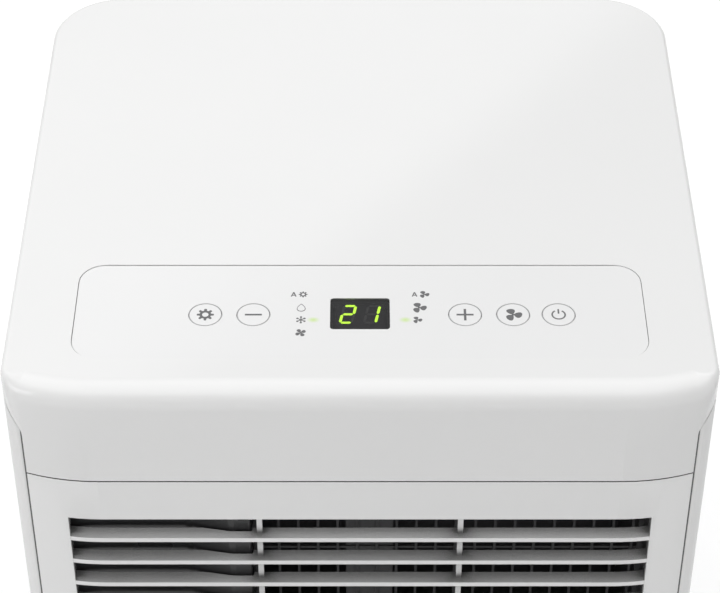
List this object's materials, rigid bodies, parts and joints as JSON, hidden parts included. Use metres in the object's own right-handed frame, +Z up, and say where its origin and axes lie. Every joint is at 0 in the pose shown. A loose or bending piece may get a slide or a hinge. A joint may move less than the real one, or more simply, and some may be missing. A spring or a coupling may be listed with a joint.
{
  "type": "portable air conditioner",
  "caption": "Tall white cabinet on swivel casters, with a touch panel in its top, a louvred front outlet, rear air intakes and a round hot-air outlet.",
  "frame": {"origin": "on the floor under the middle of the cabinet", "axes": "+Z up, -Y is the front with the outlet, +X is to the right seen from the front"},
  "size_m": [0.355, 0.338, 0.703],
  "materials": {
    "cabinet": "glossy white moulding",
    "outlet_grille": "glossy white moulding",
    "baffle": "black sheet",
    "guard_grid": "black moulding",
    "overlay": "glossy white film with grey print",
    "keys": "glossy white with grey print",
    "display_lens": "smoked clear window",
    "led_display": "dark digit module with green light",
    "circuit_board": "green laminate",
    "switches": "black",
    "light_guides": "milky plastic",
    "intake_doors": "white moulding",
    "air_filters": "dark net",
    "exhaust_collar": "white moulding",
    "drain_caps": "black",
    "cord_gland": "black",
    "screws": "zinc plated",
    "caster_forks": "black nylon",
    "caster_wheels": "grey-black tread",
    "ducts": "dark moulding",
    "fan_wheels": "dark moulding",
    "motors": "zinc plated shell",
    "coils": "plain fins",
    "drip_tray": "dark moulding",
    "deck": "dark moulding",
    "compressor": "black paint",
    "rubber_feet": "black",
    "pipes": "copper tube",
    "electrical_box": "dark moulding",
    "capacitor": "drawn can"
  },
  "bodies": {
    "cabinet": {"top_cover": "cabinet", "side_panel_left": "cabinet", "side_panel_right": "cabinet", "front_panel": "cabinet", "rear_panel": "cabinet", "base_tray": "cabinet", "outlet_grille": "outlet_grille", "outlet_baffle": "baffle", "guard_grid": "guard_grid", "control_overlay": "overlay", "display_lens": "display_lens", "led_display": "led_display", "control_board": "circuit_board", "main_board": "circuit_board", "tact_switches": "switches", "light_guides": "light_guides", "exhaust_collar": "exhaust_collar", "cord_gland": "cord_gland", "panel_screws": "screws", "outlet_duct": "ducts", "exhaust_duct": "ducts", "evaporator_housing": "ducts", "condenser_housing": "ducts", "evaporator_motor": "motors", "condenser_motor": "motors", "slinger_motor": "motors", "evaporator": "coils", "condenser": "coils", "drip_tray": "drip_tray", "mid_deck": "deck", "compressor": "compressor", "compressor_feet": "rubber_feet", "suction_pipe": "pipes", "discharge_pipe": "pipes", "liquid_pipe": "pipes", "electrical_box": "electrical_box", "run_capacitor": "capacitor"},
    "key_mode": {"key_mode": "keys"},
    "key_minus": {"key_minus": "keys"},
    "key_plus": {"key_plus": "keys"},
    "key_fan": {"key_fan": "keys"},
    "key_power": {"key_power": "keys"},
    "intake_door_upper": {"intake_door_upper": "intake_doors", "air_filter_upper": "air_filters"},
    "drain_cap_upper": {"drain_cap_upper": "drain_caps"},
    "intake_door_lower": {"intake_door_lower": "intake_doors", "air_filter_lower": "air_filters"},
    "drain_cap_lower": {"drain_cap_lower": "drain_caps"},
    "evaporator_wheel": {"evaporator_wheel": "fan_wheels"},
    "condenser_wheel": {"condenser_wheel": "fan_wheels"},
    "slinger_wheel": {"slinger_wheel": "fan_wheels"},
    "caster_front_left": {"caster_fork_front_left": "caster_forks"},
    "caster_wheels_front_left": {"caster_wheels_front_left": "caster_wheels"},
    "caster_front_right": {"caster_fork_front_right": "caster_forks"},
    "caster_wheels_front_right": {"caster_wheels_front_right": "caster_wheels"},
    "caster_rear_left": {"caster_fork_rear_left": "caster_forks"},
    "caster_wheels_rear_left": {"caster_wheels_rear_left": "caster_wheels"},
    "caster_rear_right": {"caster_fork_rear_right": "caster_forks"},
    "caster_wheels_rear_right": {"caster_wheels_rear_right": "caster_wheels"}
  },
  "joints": [
    {"name": "key_mode_press", "type": "slide", "parent": "cabinet", "child": "key_mode", "axis": [0, 0, -1], "range_m": [0, 0.0004], "stiffness_N_per_m": 1000, "springref_m": -0.0005},
    {"name": "key_minus_press", "type": "slide", "parent": "cabinet", "child": "key_minus", "axis": [0, 0, -1], "range_m": [0, 0.0004], "stiffness_N_per_m": 1000, "springref_m": -0.0005},
    {"name": "key_plus_press", "type": "slide", "parent": "cabinet", "child": "key_plus", "axis": [0, 0, -1], "range_m": [0, 0.0004], "stiffness_N_per_m": 1000, "springref_m": -0.0005},
    {"name": "key_fan_press", "type": "slide", "parent": "cabinet", "child": "key_fan", "axis": [0, 0, -1], "range_m": [0, 0.0004], "stiffness_N_per_m": 1000, "springref_m": -0.0005},
    {"name": "key_power_press", "type": "slide", "parent": "cabinet", "child": "key_power", "axis": [0, 0, -1], "range_m": [0, 0.0004], "stiffness_N_per_m": 1000, "springref_m": -0.0005},
    {"name": "intake_door_upper_pull", "type": "slide", "parent": "cabinet", "child": "intake_door_upper", "axis": [0, 1, 0], "range_m": [0, 0.06]},
    {"name": "drain_cap_upper_pull", "type": "slide", "parent": "cabinet", "child": "drain_cap_upper", "axis": [0, 1, 0], "range_m": [0, 0.025]},
    {"name": "intake_door_lower_pull", "type": "slide", "parent": "cabinet", "child": "intake_door_lower", "axis": [0, 1, 0], "range_m": [0, 0.06]},
    {"name": "drain_cap_lower_pull", "type": "slide", "parent": "cabinet", "child": "drain_cap_lower", "axis": [0, 1, 0], "range_m": [0, 0.025]},
    {"name": "evaporator_wheel_spin", "type": "hinge", "parent": "cabinet", "child": "evaporator_wheel", "pos_m": [0.02, 0.059, 0.5323], "axis": [0, 1, 0], "continuous": true},
    {"name": "condenser_wheel_spin", "type": "hinge", "parent": "cabinet", "child": "condenser_wheel", "pos_m": [-0.02, 0.059, 0.1555], "axis": [0, 1, 0], "continuous": true},
    {"name": "slinger_wheel_spin", "type": "hinge", "parent": "cabinet", "child": "slinger_wheel", "pos_m": [0.106, 0.089, 0.0785], "axis": [0, 1, 0], "continuous": true},
    {"name": "caster_front_left_swivel", "type": "hinge", "parent": "cabinet", "child": "caster_front_left", "pos_m": [-0.1345, -0.123, 0.05], "axis": [0, 0, 1], "continuous": true},
    {"name": "caster_front_left_roll", "type": "hinge", "parent": "caster_front_left", "child": "caster_wheels_front_left", "pos_m": [-0.1345, -0.109, 0.021], "axis": [1, 0, 0], "continuous": true},
    {"name": "caster_front_right_swivel", "type": "hinge", "parent": "cabinet", "child": "caster_front_right", "pos_m": [0.1345, -0.123, 0.05], "axis": [0, 0, 1], "continuous": true},
    {"name": "caster_front_right_roll", "type": "hinge", "parent": "caster_front_right", "child": "caster_wheels_front_right", "pos_m": [0.1345, -0.109, 0.021], "axis": [1, 0, 0], "continuous": true},
    {"name": "caster_rear_left_swivel", "type": "hinge", "parent": "cabinet", "child": "caster_rear_left", "pos_m": [-0.1345, 0.123, 0.05], "axis": [0, 0, 1], "continuous": true},
    {"name": "caster_rear_left_roll", "type": "hinge", "parent": "caster_rear_left", "child": "caster_wheels_rear_left", "pos_m": [-0.1345, 0.137, 0.021], "axis": [1, 0, 0], "continuous": true},
    {"name": "caster_rear_right_swivel", "type": "hinge", "parent": "cabinet", "child": "caster_rear_right", "pos_m": [0.1345, 0.123, 0.05], "axis": [0, 0, 1], "continuous": true},
    {"name": "caster_rear_right_roll", "type": "hinge", "parent": "caster_rear_right", "child": "caster_wheels_rear_right", "pos_m": [0.1345, 0.137, 0.021], "axis": [1, 0, 0], "continuous": true}
  ]
}
